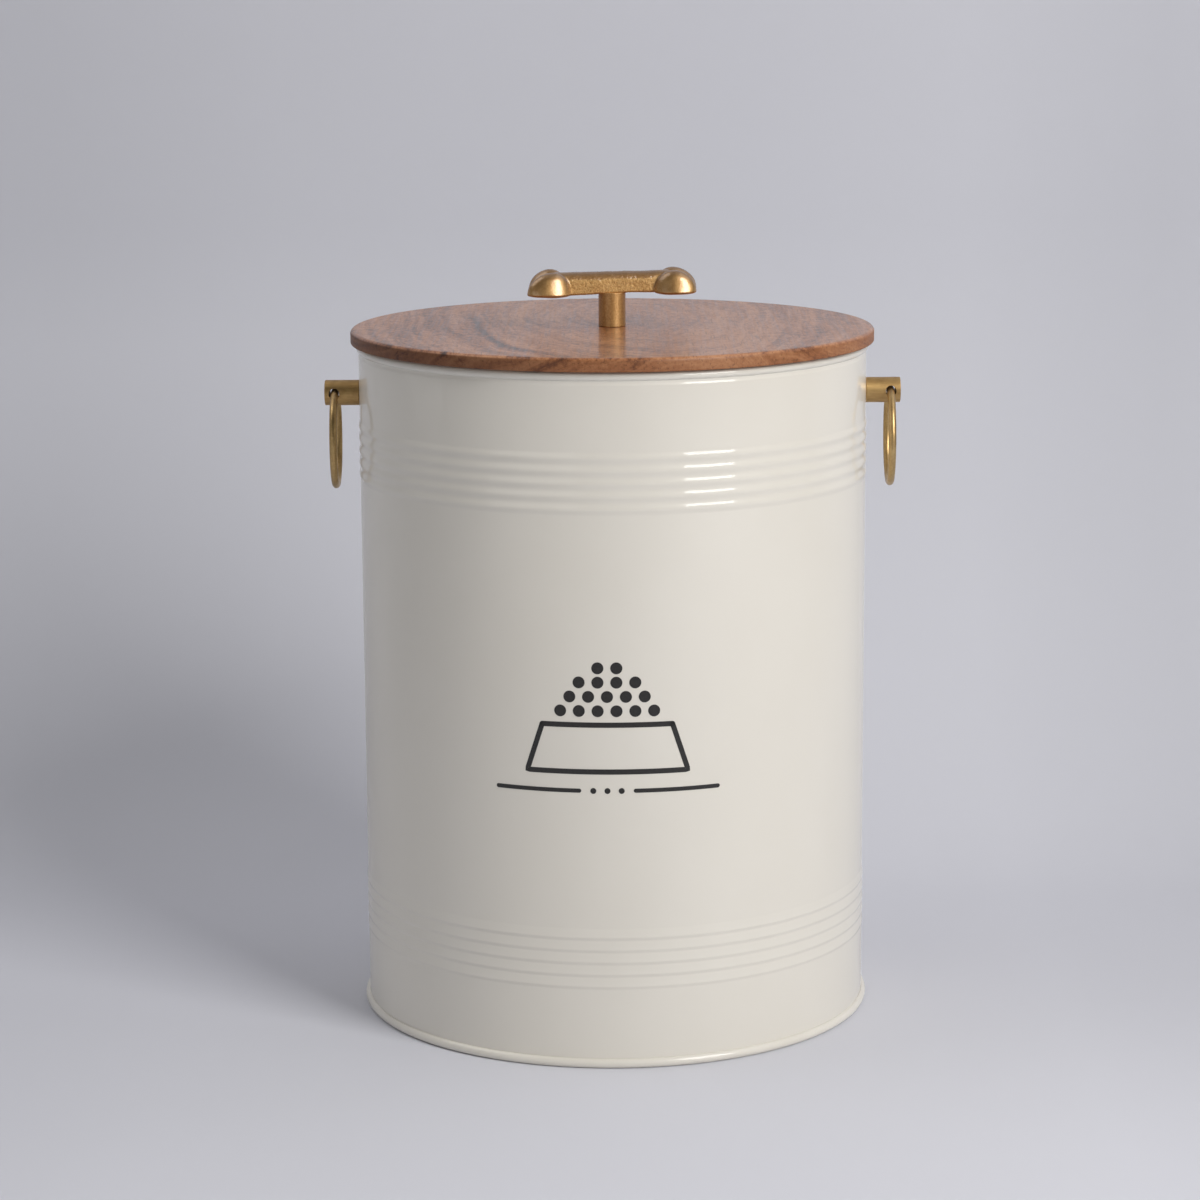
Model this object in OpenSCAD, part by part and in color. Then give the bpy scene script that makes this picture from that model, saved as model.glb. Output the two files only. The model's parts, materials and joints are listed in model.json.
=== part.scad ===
// Pet food bin: rolled steel body with stiffening ribs, wooden lift-off lid with a cast bone
// handle, and a hanging ring on each side. Millimetres, +Z up, origin at the centre of the foot.

/* [Body] */
// Outside diameter of the plain wall
body_d = 300; // [200:1:400]
// Height of the rim above the floor
bin_h = 400; // [250:0.5:520]
// Thickness of the wall sheet
sheet_t = 0.7; // [0.5:0.1:1.2]
// Width of the lap seam up the back
seam_w = 7; // [4:0.5:12]
// How far the lap seam stands out of the wall
seam_t = 0.8; // [0.4:0.1:1.5]

/* [Ribs] */
// Ribs in each of the two groups
rib_count = 5; // [1:1:6]
// Distance between neighbouring ribs
rib_pitch = 7.2; // [6:0.1:10]
// How far a rib stands out of the wall
rib_h = 0.7; // [0.4:0.1:1.6]
// Plain strip left between two ribs
rib_gap = 0.6; // [0.2:0.1:2]
// Middle of the lower group above the floor
lower_ribs_z = 64.2; // [45:0.1:90]
// Middle of the upper group below the rim
upper_ribs_drop = 63.4; // [55:0.1:100]

/* [Rim] */
// Diameter of the wire that the rim is curled round
rim_wire_d = 3.2; // [2.5:0.1:5]
// How far the curl stands out of the wall
curl_out = 1.2; // [0.8:0.1:2]

/* [Base] */
// Thickness of the base sheet
base_t = 0.8; // [0.6:0.1:1.5]
// Height of the base's underside above the floor
base_rise = 6; // [5:0.5:12]
// Height of the hem bead at the foot
hem_h = 5.5; // [4:0.1:9]
// How far the hem bead stands out of the wall
hem_out = 2.6; // [1.5:0.1:4]
// Radius of the pressed ring that stiffens the base
base_bead_r = 105; // [60:1:125]
// Height of that pressed ring
base_bead_h = 2.2; // [1:0.1:4]
// Width of that pressed ring
base_bead_w = 14; // [8:0.5:20]

/* [Side rings] */
// Diameter of a ring post
post_d = 15; // [12:0.5:20]
// Length of a post, from the wall to its end
post_l = 20.5; // [18.5:0.5:35]
// Post axis below the rim
post_drop = 30.5; // [20:0.5:45]
// Cross hole's distance from the post's end
post_hole_edge = 5.8; // [4.5:0.1:8]
// Diameter of the cross hole
post_hole_d = 6.4; // [6.2:0.1:8]
// Outside diameter of a ring
ring_od = 59.4; // [50:0.1:66]
// Diameter of the ring wire
ring_wire_d = 4.2; // [3:0.1:4.8]
// How far the ring wire hangs below the middle of its hole
ring_hang = 0.2; // [0:0.05:0.3]

/* [Lid] */
// Diameter of the lid board
lid_d = 309; // [250:0.5:420]
// Thickness of the lid board
lid_t = 8; // [7:0.5:20]
// Radius of the board's top edge
lid_top_round = 2.4; // [0.5:0.1:4]
// Radius of the board's bottom edge
lid_bottom_round = 0.8; // [0.3:0.1:2]
// Thickness of the plug under the board
plug_t = 12; // [10:0.5:20]
// Gap between the plug and the curl
plug_gap = 3.5; // [2.5:0.1:6]
// Height of the seal and of its groove
seal_h = 5; // [4:0.1:7]
// Depth of the seal groove
seal_groove = 3; // [2:0.1:5]
// Wood screws that hold the plug
plug_screw_count = 6; // [3:1:12]
// Radius of the circle of wood screws
plug_screw_circle = 95; // [50:1:120]
// Shank diameter of a wood screw
plug_screw_d = 3.8; // [3:0.1:5]
// Depth of a wood screw in the board
plug_screw_bite = 4.5; // [3:0.1:5.5]

/* [Handle] */
// Diameter of the stem
stem_d = 16; // [12:0.5:22]
// Height of the stem
stem_l = 20.2; // [18:0.1:40]
// Overall length of the bone
bone_l = 102; // [85:0.5:130]
// Width of the bone's bar
bar_w = 12.4; // [11:0.1:18]
// Height of the bone's bar
bar_h = 12; // [11:0.1:18]
// Length of a lobe at the end of the bone
lobe_l = 26; // [20:0.5:32]
// Width of a lobe
lobe_w = 16; // [12:0.5:20]
// Height of a lobe
lobe_h = 14; // [12:0.1:20]
// How far the lobes reach below the bar
lobe_drop = 1; // [0:0.1:2]
// Distance between the crowns of two neighbouring lobes
lobe_spacing = 15; // [10:0.5:18]
// Angle at which the lobes splay outwards
lobe_splay = 8; // [0:1:20]
// Turn of the bone about its stem
handle_turn = 6; // [-30:1:30]

/* [Fasteners] */
// Diameter of the machine screws
screw_d = 4.8; // [3:0.1:5]
// Diameter of a machine screw's head
screw_head_d = 9.4; // [8:0.1:12]
// Height of a machine screw's head
screw_head_h = 3; // [2:0.1:4]
// Thickness of the washers
washer_t = 1.2; // [0.8:0.1:2]
// Diameter of the post washers
post_washer_d = 12; // [11:0.5:16]
// Diameter of the handle washer
handle_washer_d = 15; // [11:0.5:20]
// Depth of the handle screw in the bone
handle_screw_bite = 8; // [5:0.5:9]
// Depth of a post screw in its post
post_screw_bite = 8.5; // [5:0.5:9]

/* [Clearances] */
// Play between folded or nested sheets
seam_fit = 0.1; // [0.05:0.05:0.3]
// Play of the wire in the curl
wire_fit = 0.3; // [0.2:0.05:0.5]
// Play of a screw in its thread
thread_fit = 0.1; // [0.05:0.05:0.2]
// Play of a screw in a plain hole, on each side
hole_fit = 0.4; // [0.2:0.1:1]
// Gap under the lid, and between the seal and the curl
lid_fit = 0.3; // [0.2:0.1:0.6]
// Space left past the end of a screw
tip_gap = 1; // [0.5:0.1:2]

/* [Hidden] */
$fn = 96;
overlap = 0.01;

cream = [0.87, 0.85, 0.80];
brass = [0.66, 0.52, 0.28];
acacia = [0.50, 0.30, 0.18];
plug_wood = [0.68, 0.52, 0.36];
silicone = [0.88, 0.88, 0.86];
steel = [0.70, 0.71, 0.72];

body_r = body_d / 2;
inner_r = body_r - sheet_t;

// A rib is an arc of this radius whose chord is the pitch less the plain strip
rib_chord = rib_pitch - rib_gap;
rib_r = (rib_chord * rib_chord / 4 + rib_h * rib_h) / (2 * rib_h);
rib_heights = [for (middle = [lower_ribs_z, bin_h - upper_ribs_drop], i = [0 : rib_count - 1])
               middle + (i - (rib_count - 1) / 2) * rib_pitch];

// The curl is a sheet tube round the wire, and its slit is on the inside
curl_r = rim_wire_d / 2 + wire_fit + sheet_t;
curl_x = body_r + curl_out - curl_r;
curl_z = bin_h - curl_r;
mouth_r = curl_x - curl_r;
curl_slit = 1.2;

// The base folds round the foot of the wall
shell_foot_z = base_t + seam_fit;
base_leg_r = inner_r - seam_fit;
hem_r = hem_h / 2;
hem_x = body_r + hem_out - hem_r;
bead_arc_r = (base_bead_w * base_bead_w / 4 + base_bead_h * base_bead_h) / (2 * base_bead_h);

post_z = bin_h - post_drop;
hole_x = body_r + post_l - post_hole_edge;
ring_r = (ring_od - ring_wire_d) / 2;
// The wire bends inside the hole, so its crown sits half of the bend above the hole's axis
wire_bend = ring_r - sqrt(ring_r * ring_r - post_d * post_d / 4);
ring_z = post_z + wire_bend / 2 - ring_hang - ring_r;
// A flat washer touches the round wall inside at its rim
washer_seat_x = sqrt(inner_r * inner_r - post_washer_d * post_washer_d / 4) - seam_fit / 2;
post_screw_tip_x = body_r + post_screw_bite;

lid_z = bin_h + lid_fit;
lid_top_z = lid_z + lid_t;
plug_z = lid_z - plug_t;
plug_r = mouth_r - plug_gap;
seal_z = curl_z - seal_h / 2;
seal_lip_r = mouth_r - lid_fit;
seal_lip_t = 1.1;
counterbore_h = washer_t + screw_head_h + tip_gap;
washer_z = plug_z + counterbore_h - washer_t;
wood_head_d = 2 * plug_screw_d;
wood_head_h = (wood_head_d - plug_screw_d) / 2;
wood_tip_h = 2;

bone_z = lid_top_z + stem_l;
edge_break = 0.5;
lobe_foot = 1.2;
lobe_rise = lobe_h - lobe_foot;
// A lobe is highest at this distance from the stem, and slopes from there down to its tip
lobe_x = bone_l / 2 - 0.64 * lobe_l;

// Region inside a wall whose face is moved out by grow
module wall_region(grow) {
    translate([0, shell_foot_z])
        square([body_r + grow, curl_z - shell_foot_z]);
    for (z = rib_heights)
        translate([body_r + rib_h - rib_r, z])
            circle(r = rib_r + grow);
}

module curl_profile() {
    translate([curl_x, curl_z]) difference() {
        circle(r = curl_r);
        circle(r = curl_r - sheet_t);
        translate([-curl_slit / 2, -curl_r - overlap])
            square([curl_slit, curl_r]);
    }
}

module body_shell() {
    color(cream) difference() {
        union() {
            rotate_extrude() {
                difference() {
                    wall_region(0);
                    wall_region(-sheet_t);
                    translate([curl_x, curl_z])
                        circle(r = curl_r - sheet_t);
                }
                curl_profile();
            }
            back_seam();
        }
        for (side = [-1, 1])
            translate([side * body_r, 0, post_z])
                rotate([0, 90, 0])
                    cylinder(d = screw_d + 2 * hole_fit, h = 4 * rib_h + 2 * sheet_t, center = true);
    }
}

// The lap follows the wall and its ribs, between the hem and the curl
module back_seam() {
    seam_angle = seam_w / body_r * 180 / PI;
    rotate([0, 0, 90 - seam_angle / 2])
        rotate_extrude(angle = seam_angle) difference() {
            intersection() {
                wall_region(seam_t);
                translate([0, hem_h + 0.5])
                    square([body_d, curl_z - curl_r - hem_h - 0.5]);
            }
            wall_region(-sheet_t / 2);
        }
}

module rim_wire() {
    color(steel) rotate_extrude()
        translate([curl_x, curl_z]) circle(d = rim_wire_d);
}

module base_pan() {
    color(cream) rotate_extrude() {
        difference() {
            union() {
                translate([0, base_rise])
                    square([base_leg_r, base_t]);
                base_bead(base_bead_h);
            }
            translate([0, -base_t])
                base_bead(base_bead_h);
        }
        translate([base_leg_r - base_t, 0])
            square([base_t, base_rise + base_t]);
        translate([base_leg_r - base_t, 0])
            square([hem_x - base_leg_r + base_t, base_t]);
        difference() {
            translate([hem_x, hem_r])
                circle(r = hem_r);
            translate([0, base_t])
                square([body_r + seam_fit, hem_h]);
            translate([0, -overlap])
                square([base_leg_r - base_t, hem_h]);
        }
    }
}

// Crown of the pressed ring, above the top face of the base
module base_bead(height) {
    intersection() {
        translate([base_bead_r, base_rise + base_t + height - bead_arc_r])
            circle(r = bead_arc_r);
        translate([base_bead_r - base_bead_w, base_rise])
            square([2 * base_bead_w, base_t + height]);
    }
}

// A round post stands on the wall, with a thread towards the bin and a cross hole for its ring
module ring_post(side) {
    color(brass) difference() {
        mirror([side < 0 ? 1 : 0, 0, 0])
            translate([body_r, 0, post_z])
                rotate([0, 90, 0])
                    chamfered_bar(post_d, post_l);
        translate([side * hole_x, 0, post_z])
            rotate([90, 0, 0])
                cylinder(d = post_hole_d, h = 2 * post_d, center = true);
        translate([side * (body_r - 1), 0, post_z])
            rotate([0, side * 90, 0])
                cylinder(d = screw_d + 2 * thread_fit, h = 1 + post_screw_bite + tip_gap);
    }
}

module chamfered_bar(d, h) {
    rotate_extrude() {
        square([d / 2 - edge_break, h]);
        translate([0, edge_break])
            square([d / 2, h - 2 * edge_break]);
        for (z = [edge_break, h - edge_break])
            translate([d / 2 - edge_break, z])
                circle(r = edge_break, $fn = 24);
    }
}

module post_washer(side) {
    color(steel) translate([side * washer_seat_x, 0, post_z])
        rotate([0, -side * 90, 0])
            washer(post_washer_d);
}

module post_screw(side) {
    color(steel) translate([side * (washer_seat_x - washer_t), 0, post_z])
        rotate([0, side * 90, 0])
            pan_screw(post_screw_tip_x - washer_seat_x + washer_t);
}

// Lies on z = 0 and reaches up by its thickness
module washer(d) {
    difference() {
        cylinder(d = d, h = washer_t);
        cylinder(d = screw_d + hole_fit, h = 4 * washer_t, center = true);
    }
}

// The head is under z = 0 and the shank reaches up
module pan_screw(shank_l) {
    head_r = screw_head_d / 2;
    rotate_extrude() {
        translate([0, -screw_head_h])
            square([head_r - screw_head_h / 2, screw_head_h]);
        translate([0, -screw_head_h / 2])
            square([head_r, screw_head_h / 2]);
        intersection() {
            translate([head_r - screw_head_h / 2, -screw_head_h / 2])
                circle(r = screw_head_h / 2, $fn = 32);
            translate([0, -screw_head_h])
                square([head_r, screw_head_h]);
        }
    }
    translate([0, 0, -overlap])
        cylinder(d = screw_d, h = shank_l + overlap);
}

module side_ring(side) {
    color(brass) translate([side * hole_x, 0, ring_z])
        rotate([0, 90, 0])
            rotate_extrude() translate([ring_r, 0]) circle(d = ring_wire_d, $fn = 48);
}

module lid_board() {
    color(acacia) difference() {
        translate([0, 0, lid_z])
            rounded_disc(lid_d / 2, lid_t, lid_top_round, lid_bottom_round);
        translate([0, 0, lid_z - 1])
            cylinder(d = screw_d + 2 * hole_fit, h = lid_t + 2);
        plug_screw_places()
            translate([0, 0, lid_z - 1])
                cylinder(d = plug_screw_d + 2 * thread_fit, h = 1 + plug_screw_bite + thread_fit);
    }
}

module rounded_disc(r, h, top_round, bottom_round) {
    rotate_extrude() {
        square([r - top_round, h]);
        translate([0, bottom_round])
            square([r, h - top_round - bottom_round]);
        square([r - bottom_round, h - top_round]);
        translate([r - top_round, h - top_round])
            circle(r = top_round);
        translate([r - bottom_round, bottom_round])
            circle(r = bottom_round);
    }
}

module plug_screw_places() {
    for (i = [0 : plug_screw_count - 1])
        rotate([0, 0, (i + 0.5) * 360 / plug_screw_count])
            translate([plug_screw_circle, 0, 0])
                children();
}

module lid_plug() {
    color(plug_wood) difference() {
        translate([0, 0, plug_z])
            rounded_disc(plug_r, plug_t, edge_break, 2 * edge_break);
        rotate_extrude()
            translate([plug_r - seal_groove, seal_z])
                square([seal_groove + 1, seal_h]);
        translate([0, 0, plug_z - 1])
            cylinder(d = handle_washer_d + 2 * hole_fit, h = 1 + counterbore_h);
        translate([0, 0, plug_z - 1])
            cylinder(d = screw_d + 2 * hole_fit, h = plug_t + 2);
        plug_screw_places()
            translate([0, 0, plug_z])
                wood_screw_shape(thread_fit, plug_t + 1);
    }
}

// Countersunk screw with its head at z = 0, pointing up and swollen by grow
module wood_screw_shape(grow, shank_l) {
    head_r = wood_head_d / 2 + grow;
    shank_r = plug_screw_d / 2 + grow;
    translate([0, 0, -grow])
        cylinder(r1 = head_r, r2 = shank_r, h = wood_head_h + grow);
    cylinder(r = shank_r, h = shank_l);
}

module plug_screws() {
    color(steel) plug_screw_places()
        translate([0, 0, plug_z]) {
            wood_screw_shape(0, plug_t + plug_screw_bite - wood_tip_h);
            translate([0, 0, plug_t + plug_screw_bite - wood_tip_h])
                cylinder(d1 = plug_screw_d, d2 = plug_screw_d / 4, h = wood_tip_h);
        }
}

// Two lips lean upwards from a band that sits in the plug's groove
module lid_seal() {
    band_r = plug_r - seal_groove + seam_fit;
    lip_root_r = plug_r + 0.4;
    color(silicone) rotate_extrude() translate([0, seal_z + seam_fit]) {
        translate([band_r, 0])
            square([lip_root_r - band_r, seal_h - 2 * seam_fit]);
        for (lip_z = [0, seal_h - 2 * seam_fit - 2 * seal_lip_t])
            polygon([[lip_root_r - overlap, lip_z], [seal_lip_r, lip_z + seal_lip_t],
                     [seal_lip_r, lip_z + 1.6 * seal_lip_t], [lip_root_r - overlap, lip_z + 1.5 * seal_lip_t]]);
    }
}

// Tubular spacer that the handle screw passes through
module handle_stem() {
    color(brass) translate([0, 0, lid_top_z]) difference() {
        chamfered_bar(stem_d, stem_l);
        translate([0, 0, -1])
            cylinder(d = screw_d + 2 * hole_fit, h = stem_l + 2);
    }
}

// Flat-backed casting: an arched bar between two pairs of domed lobes
module handle_bone() {
    color(brass) translate([0, 0, bone_z]) rotate([0, 0, handle_turn]) difference() {
        union() {
            bone_bar();
            for (end = [-1, 1], flank = [-1, 1])
                bone_lobe(end, flank);
        }
        translate([0, 0, -1])
            cylinder(d = screw_d + 2 * thread_fit, h = 1 + handle_screw_bite + tip_gap);
    }
}

module bone_bar() {
    arch_r = bar_w / 2;
    translate([-lobe_x, 0, 0])
        rotate([90, 0, 90])
            linear_extrude(height = 2 * lobe_x) {
                translate([-arch_r, 0])
                    square([bar_w, bar_h - arch_r]);
                intersection() {
                    translate([0, bar_h - arch_r])
                        circle(r = arch_r);
                    translate([-arch_r, 0])
                        square([bar_w, bar_h]);
                }
            }
}

// Teardrop dome: full at the outer end, narrower where it runs on to the bar
module bone_lobe(end, flank) {
    intersection() {
        translate([end * lobe_x, flank * lobe_spacing / 2, lobe_foot - lobe_drop])
            rotate([0, 0, end * flank * lobe_splay])
                hull() {
                    scale([lobe_l * 0.4, lobe_w / 2, lobe_rise]) sphere(r = 1, $fn = 24);
                    translate([end * lobe_l * 0.33, 0, 0])
                        scale([lobe_l * 0.31, lobe_w * 0.4, lobe_rise * 0.76]) sphere(r = 1, $fn = 24);
                }
        translate([-bone_l, -bone_l, -lobe_drop])
            cube([2 * bone_l, 2 * bone_l, 2 * lobe_h]);
    }
}

module handle_washer() {
    color(steel) translate([0, 0, washer_z]) washer(handle_washer_d);
}

module handle_screw() {
    color(steel) translate([0, 0, washer_z])
        pan_screw(bone_z + handle_screw_bite - washer_z);
}

body_shell();
rim_wire();
base_pan();
ring_post(-1);  // left_ring_post
ring_post(1);  // right_ring_post
post_washer(-1);  // left_post_washer
post_washer(1);  // right_post_washer
post_screw(-1);  // left_post_screw
post_screw(1);  // right_post_screw
side_ring(-1);  // left_ring
side_ring(1);  // right_ring
lid_board();
lid_plug();
lid_seal();
plug_screws();
handle_stem();
handle_bone();
handle_washer();
handle_screw();
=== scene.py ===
"""Looks of a pet food bin: a cream powder-coated ribbed steel wall, a varnished acacia lid, a sand-cast
brass handle and brass rings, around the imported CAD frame. Metres, +Z up, the front faces -Y."""

import json
import math
from typing import NamedTuple

import bmesh
import bpy
import numpy as np
from mathutils import Euler, Matrix, Vector, noise


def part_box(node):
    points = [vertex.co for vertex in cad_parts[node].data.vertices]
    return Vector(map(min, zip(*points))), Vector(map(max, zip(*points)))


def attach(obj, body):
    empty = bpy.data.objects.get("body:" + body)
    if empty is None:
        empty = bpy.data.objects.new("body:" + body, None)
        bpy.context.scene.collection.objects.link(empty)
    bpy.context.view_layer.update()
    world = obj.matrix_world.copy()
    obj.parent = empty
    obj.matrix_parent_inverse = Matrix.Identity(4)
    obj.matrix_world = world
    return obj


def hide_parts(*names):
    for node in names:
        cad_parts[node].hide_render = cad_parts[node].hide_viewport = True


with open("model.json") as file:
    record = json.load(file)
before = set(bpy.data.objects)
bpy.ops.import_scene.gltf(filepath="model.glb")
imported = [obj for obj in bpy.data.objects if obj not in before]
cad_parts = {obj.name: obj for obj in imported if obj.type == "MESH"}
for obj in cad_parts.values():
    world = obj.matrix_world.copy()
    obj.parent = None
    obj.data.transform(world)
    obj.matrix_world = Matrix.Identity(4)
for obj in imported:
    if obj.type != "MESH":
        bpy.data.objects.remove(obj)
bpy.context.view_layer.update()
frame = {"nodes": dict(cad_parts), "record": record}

MM = 0.001

# ---------------------------------------------------------------- sizes of the modelled pieces

RIB_COUNT = 5
RIB_PITCH = 7.2 * MM
UPPER_RIB_HEIGHT = 0.55 * MM
LOWER_RIB_HEIGHT = 0.42 * MM
LOWER_RIB_RETURN = 2.2 * MM
LOWER_RIBS_Z = 64.2 * MM
UPPER_RIBS_DROP = 62.4 * MM
CURL_OUT = 1.2 * MM
CURL_R = 2.6 * MM
SHEET = 0.7 * MM
SEAM_WIDTH = 7.0 * MM
SEAM_RISE = 0.8 * MM
SEAM_SHOULDER = 1.0 * MM
SEAM_FOOT_GAP = 0.5 * MM
SEAM_TOP_GAP = 0.8 * MM
HEM_HEIGHT = 5.5 * MM
NECK_DEPTH = 0.30 * MM
NECK_HEIGHT = 1.0 * MM
NECK_SHOULDER = 1.8 * MM
OUTSIDE_STEP = 0.3 * MM
INSIDE_STEP = 0.9 * MM

shell_low, shell_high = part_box("body_shell")
RIM_Z = shell_high.z
WALL_R = shell_high.x - CURL_OUT
CURL_X = WALL_R + CURL_OUT - CURL_R
CURL_Z = RIM_Z - CURL_R


# ---------------------------------------------------------------- node materials


class Shade:
    """Short calls for building one Principled material's node tree."""

    def __init__(self, name):
        self.mat = bpy.data.materials.new(name)
        self.mat.use_nodes = True
        self.tree = self.mat.node_tree
        self.bsdf = self.tree.nodes["Principled BSDF"]

    def node(self, kind, **props):
        made = self.tree.nodes.new(kind)
        for key, value in props.items():
            setattr(made, key, value)
        return made

    def put(self, value, socket):
        """Links an output, or sets a constant."""
        if isinstance(value, bpy.types.NodeSocket):
            self.tree.links.new(value, socket)
        elif value is not None:
            socket.default_value = value

    def coords(self, scale=(1, 1, 1), shift=(0, 0, 0)):
        """Object coordinates in metres, scaled and then moved."""
        source = self.node("ShaderNodeTexCoord").outputs["Object"]
        mapping = self.node("ShaderNodeMapping")
        self.put(source, mapping.inputs["Vector"])
        mapping.inputs["Scale"].default_value = scale
        mapping.inputs["Location"].default_value = shift
        return mapping.outputs["Vector"]

    def noise(self, vector, scale, detail=2.0, rough=0.5, distortion=0.0):
        made = self.node("ShaderNodeTexNoise")
        self.put(vector, made.inputs["Vector"])
        made.inputs["Scale"].default_value = scale
        made.inputs["Detail"].default_value = detail
        made.inputs["Roughness"].default_value = rough
        made.inputs["Distortion"].default_value = distortion
        return made.outputs["Fac"]

    def cells(self, vector, scale):
        """Distance to the nearest of a field of scattered points."""
        made = self.node("ShaderNodeTexVoronoi", feature="F1")
        self.put(vector, made.inputs["Vector"])
        made.inputs["Scale"].default_value = scale
        return made.outputs["Distance"]

    def math(self, kind, a, b=None, c=None):
        made = self.node("ShaderNodeMath", operation=kind)
        for value, socket in zip((a, b, c), made.inputs):
            self.put(value, socket)
        return made.outputs["Value"]

    def centred(self, value, amount):
        """A noise value, which stays about 0.5, turned into a swing about 0."""
        return self.math("MULTIPLY", self.math("SUBTRACT", value, 0.5), amount)

    def span(self, value, low, high, to_low=0.0, to_high=1.0):
        """Goes evenly from to_low to to_high as the value goes from low to high, and stops there."""
        made = self.node("ShaderNodeMapRange", clamp=True)
        names = ("Value", "From Min", "From Max", "To Min", "To Max")
        for name, setting in zip(names, (value, low, high, to_low, to_high)):
            self.put(setting, made.inputs[name])
        return made.outputs["Result"]

    def between(self, factor, at_zero, at_one):
        """Goes from at_zero to at_one as the factor goes from 0 to 1."""
        return self.span(factor, 0.0, 1.0, at_zero, at_one)

    def ramp(self, value, stops):
        """Colour by value, from stops of (value, colour)."""
        made = self.node("ShaderNodeValToRGB")
        self.put(value, made.inputs["Fac"])
        elements = made.color_ramp.elements
        while len(elements) < len(stops):
            elements.new(0.5)
        for element, (place, colour) in zip(elements, stops):
            element.position = place
            element.color = (*colour, 1.0)
        return made.outputs["Color"]

    def mix(self, factor, a, b):
        """Colour a where the factor is 0, and b where it is 1."""
        made = self.node("ShaderNodeMix", data_type="RGBA", blend_type="MIX")
        for value, name in ((factor, "Factor"), (a, "A"), (b, "B")):
            socket = next(s for s in made.inputs if s.name == name and s.enabled)
            if isinstance(value, tuple):
                value = (*value, 1.0)
            self.put(value, socket)
        return next(s for s in made.outputs if s.enabled)

    def bump(self, height, distance, strength, normal=None):
        """Normal of a surface raised by height times distance, in metres."""
        made = self.node("ShaderNodeBump")
        self.put(height, made.inputs["Height"])
        made.inputs["Distance"].default_value = distance
        self.put(strength, made.inputs["Strength"])
        self.put(normal, made.inputs["Normal"])
        return made.outputs["Normal"]

    def split(self, vector):
        made = self.node("ShaderNodeSeparateXYZ")
        self.put(vector, made.inputs["Vector"])
        return made.outputs["X"], made.outputs["Y"], made.outputs["Z"]

    def join(self, x, y, z):
        made = self.node("ShaderNodeCombineXYZ")
        for value, socket in zip((x, y, z), made.inputs):
            self.put(value, socket)
        return made.outputs["Vector"]

    def facing_up(self):
        """How far the surface faces up, 1 for level and 0 for upright."""
        return self.split(self.node("ShaderNodeTexCoord").outputs["Normal"])[2]

    def away(self, vector, point, stretch=(1, 1, 1)):
        """Distance from a point, measured with each axis stretched."""
        moved = self.node("ShaderNodeVectorMath", operation="SUBTRACT")
        self.put(vector, moved.inputs[0])
        moved.inputs[1].default_value = point
        scaled = self.node("ShaderNodeVectorMath", operation="MULTIPLY")
        self.put(moved.outputs["Vector"], scaled.inputs[0])
        scaled.inputs[1].default_value = stretch
        length = self.node("ShaderNodeVectorMath", operation="LENGTH")
        self.put(scaled.outputs["Vector"], length.inputs[0])
        return length.outputs["Value"]

    def finish(self, **sockets):
        """Sets the Principled sockets by name, with _ for each space."""
        for key, value in sockets.items():
            socket = self.bsdf.inputs[key.replace("_", " ")]
            if isinstance(value, tuple):
                value = (*value, 1.0)
            self.put(value, socket)
        return self.mat

    def clear_from_behind(self):
        """Lets a view from behind the backdrop look through it at the object."""
        choose = self.node("ShaderNodeMixShader")
        self.put(self.node("ShaderNodeNewGeometry").outputs["Backfacing"], choose.inputs[0])
        self.put(self.bsdf.outputs["BSDF"], choose.inputs[1])
        self.put(self.node("ShaderNodeBsdfTransparent").outputs["BSDF"], choose.inputs[2])
        self.put(choose.outputs["Shader"], self.tree.nodes["Material Output"].inputs["Surface"])


def powder_coat():
    """Cream semi-gloss powder coat: faint orange peel, and the slow waves of thin rolled sheet."""
    s = Shade("powder_coat")
    peel = s.noise(s.coords(), 900, 2.0, 0.55)
    waves = s.noise(s.coords((1, 1, 0.45)), 16, 1.0, 0.4)
    tone = s.noise(s.coords((1, 1, 0.6)), 7, 3.0, 0.6)
    normal = s.bump(waves, 0.0009, 0.5)
    normal = s.bump(peel, 0.00002, 0.35, normal)
    colour = s.ramp(tone, [(0.3, (0.725, 0.690, 0.615)), (0.7, (0.755, 0.722, 0.650))])
    return s.finish(Base_Color=colour, Roughness=0.5, Normal=normal, Coat_Weight=0.75, Coat_Roughness=0.07)


# Knots on the front of the lid's edge: degrees to the right of the middle, size in mm, and depth of tone
EDGE_KNOTS = ((-60, 16, 0.16), (-50, 20, 0.24), (-36, 15, 0.26), (-17, 11, 0.16), (4, 15, 0.10))


def on_rim(radius, degrees, z):
    """A place on the lid's edge, in degrees to the right of the front."""
    turn = math.radians(degrees)
    return (radius * math.sin(turn), -radius * math.cos(turn), z)


def growth_reach(s, radius, top):
    """Distance from the middle of an oval figure behind the handle, first plain and then as the tree grew:
    swayed, curled, pulled in by a small swirl in front on the right, and slanting on the edge."""
    here = s.coords()
    z = s.split(here)[2]
    sway = s.noise(s.coords((11, 4.5, 11), (4.7, 1.3, 0.2)), 1.0, 2.0, 0.5)
    curl = s.noise(s.coords((60, 16, 60), (1.9, 0.6, 0)), 1.0, 3.0, 0.6)
    figure = s.away(here, (0.10 * radius, 0.32 * radius, top), (1.0, 0.42, 1.0))
    swirl = s.away(here, (0.45 * radius, -0.55 * radius, top), (1.0, 0.24, 1.0))
    pull = s.math("MULTIPLY", s.span(swirl, 0.0, 0.17 * radius, 1.0, 0.0), 0.10 * radius)
    reach = s.math("ADD", figure, s.centred(sway, 0.34 * radius))
    reach = s.math("ADD", reach, s.centred(curl, 0.035 * radius))
    reach = s.math("SUBTRACT", reach, pull)
    reach = s.math("ADD", reach, s.math("MULTIPLY", s.math("SUBTRACT", z, top), 1.1))
    return figure, reach


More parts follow.
